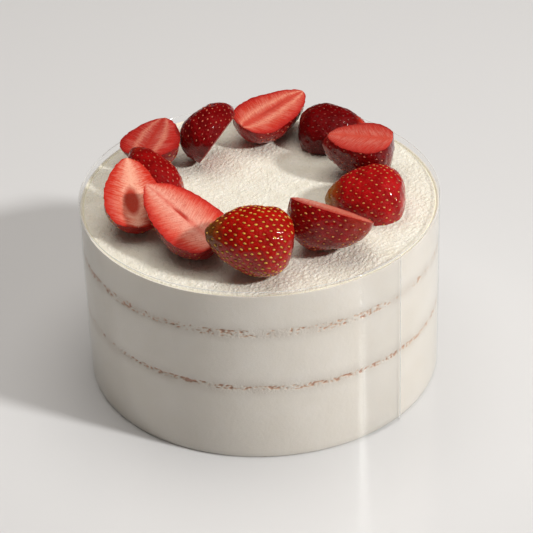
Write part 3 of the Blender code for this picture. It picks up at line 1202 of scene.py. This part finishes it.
def top_height(place):
    radius = place.length
    from_edge = CREAM_RADIUS - radius
    field = min(1.0, max(0.0, (from_edge - GROOVE_FROM_EDGE) / FIELD_EASE))
    bend = (from_edge - RIM_ROUND) / RIM_ROUND if from_edge < GROOVE_FROM_EDGE else 0.0
    rim = min(RIM_DROP * bend**2, 2.0 * RIM_DROP)
    return CAKE_HEIGHT - field * ridge_depth(place) - GROOVE_DEPTH * groove_share(radius) - rim


print("cream at the middle:", round(top_height(Vector((0.0, 0.0, 0.0))) / MM, 2), "mm up")

# %% Cream top
TOP_CELLS = 276
TOP_SIDE_ROWS = 6
LAST_LIFT = 1.0 * MM
FULL_LIFT = 0.7 * MM
SMALL_LIFT = 0.25 * MM
OVERLAP = 0.05 * MM
BELOW_BERRIES = CAKE_HEIGHT - 4 * MM


def meet_berries(place):
    """Raises a point of the cream to a berry that lies less than a millimetre above it."""
    for tree in BERRY_TREES:
        hit = tree.ray_cast(Vector((place.x, place.y, BELOW_BERRIES)), Vector((0.0, 0.0, 1.0)))
        if hit[0] is None or hit[0].z >= place.z + LAST_LIFT:
            continue
        if hit[0].z - place.z < FULL_LIFT:
            place.z = max(place.z, hit[0].z + OVERLAP)
        else:
            place.z += SMALL_LIFT
    return place


def cream_top(name, low):
    bm = bmesh.new()
    bmesh.ops.create_grid(bm, x_segments=TOP_CELLS, y_segments=TOP_CELLS, size=1.0)
    groove = bm.verts.layers.float.new("groove")
    for vert in bm.verts:
        place = disc_place(vert.co.x, vert.co.y)
        vert[groove] = groove_share(place.length)
        place.z = top_height(place)
        vert.co = meet_berries(place)
    edge = [e for e in bm.edges if e.is_boundary]
    for row in range(1, TOP_SIDE_ROWS + 1):
        made = bmesh.ops.extrude_edge_only(bm, edges=edge)["geom"]
        edge = [e for e in made if isinstance(e, bmesh.types.BMEdge)]
        for vert in {vert for e in edge for vert in e.verts}:
            vert.co.z = CAKE_HEIGHT + (low - CAKE_HEIGHT) * row / TOP_SIDE_ROWS
    bmesh.ops.contextual_create(bm, geom=edge)
    push_side(bm)
    bmesh.ops.recalc_face_normals(bm, faces=bm.faces)
    for face in bm.faces:
        face.material_index = 0 if face.calc_center_median().xy.length < CREAM_RADIUS - 0.2 * MM else 1
    return add_piece(f"{name}_layer", bm, [CREAM_TOP, CREAM_SIDE], name, sharp=60.0)


cream_top("cream_top", SEAMS[3])

# %% [markdown]
# The film is one strip that goes once round the cake and laps over its own start at the front
# right. A flat grid is rolled up into that shape, and Solidify gives it its thickness. It is never
# quite round, so it bows out very slightly in places, which bends the reflections.

# %% Film collar
FILM_HEIGHT = 80.5 * MM
FILM_SEAM_ANGLE = math.radians(-58.0)
FILM_OVERLAP = 20.0 * MM
FILM_STEP_ANGLE = math.radians(12.0)
FILM_PIECES = 720
FILM_ROWS = 26
FILM_RIM = 0.35 * MM
FILM_BOW = 0.07 * MM
LAP_BOW = 0.3
LAP_FROM = 0.93 * math.tau
LAP_TO = math.tau / 20
Crease = namedtuple("Crease", "angle width rise low high")
CREASES = (Crease(math.radians(-148.5), 1.3 * MM, 0.22 * MM, 12 * MM, 74 * MM),)


def spaced(part, count, length, margin):
    """A place along a strip of even cells, with one narrow cell of the given margin at each end."""
    cell = round(part * count)
    if cell == 0:
        return 0.0
    if cell == count:
        return length
    return margin + (length - 2.0 * margin) * (cell - 1) / (count - 2)


def film_bow(angle, height):
    """How far the film stands out of true round."""
    place = Vector((2.0 * math.cos(angle), 2.0 * math.sin(angle), height / (90 * MM)))
    bow = FILM_BOW * (1.0 + noise.noise(place))
    for crease in CREASES:
        turned = math.remainder(angle - crease.angle, math.tau) * CAKE_RADIUS
        if crease.low < height < crease.high:
            rise = math.sin(math.pi * (height - crease.low) / (crease.high - crease.low))
            bow += crease.rise * rise * math.exp(-((turned / crease.width) ** 2))
    return bow


def film_collar(name):
    middle = CREAM_RADIUS + GAP + FILM_THICKNESS / 2.0
    length = math.tau * CAKE_RADIUS + FILM_OVERLAP
    bm = bmesh.new()
    bmesh.ops.create_grid(bm, x_segments=FILM_PIECES, y_segments=FILM_ROWS, size=0.5)
    rim = bm.verts.layers.float.new("rim")
    for vert in bm.verts:
        strip = spaced(vert.co.x + 0.5, FILM_PIECES, length, FILM_RIM)
        height = spaced(vert.co.y + 0.5, FILM_ROWS, FILM_HEIGHT, FILM_RIM)
        vert[rim] = 1.0 if strip == length or height == FILM_HEIGHT else 0.0
        angle = strip / CAKE_RADIUS
        share = min(1.0, max(0.0, 1.0 + (angle - math.tau) / FILM_STEP_ANGLE))
        radius = middle + (FILM_THICKNESS + GAP) * share * share * (3.0 - 2.0 * share)
        around = FILM_SEAM_ANGLE + angle
        lapped = angle < LAP_TO or angle > LAP_FROM
        radius += film_bow(around, height) * (LAP_BOW if lapped else 1.0)
        vert.co = (radius * math.cos(around), radius * math.sin(around), height)
    film = add_piece(f"{name}_strip", bm, [CLEAR_FILM], name)
    wall = film.modifiers.new("wall", "SOLIDIFY")
    wall.thickness = FILM_THICKNESS
    wall.offset = 0.0
    wall.use_even_offset = True
    return film


film_collar("film_collar")
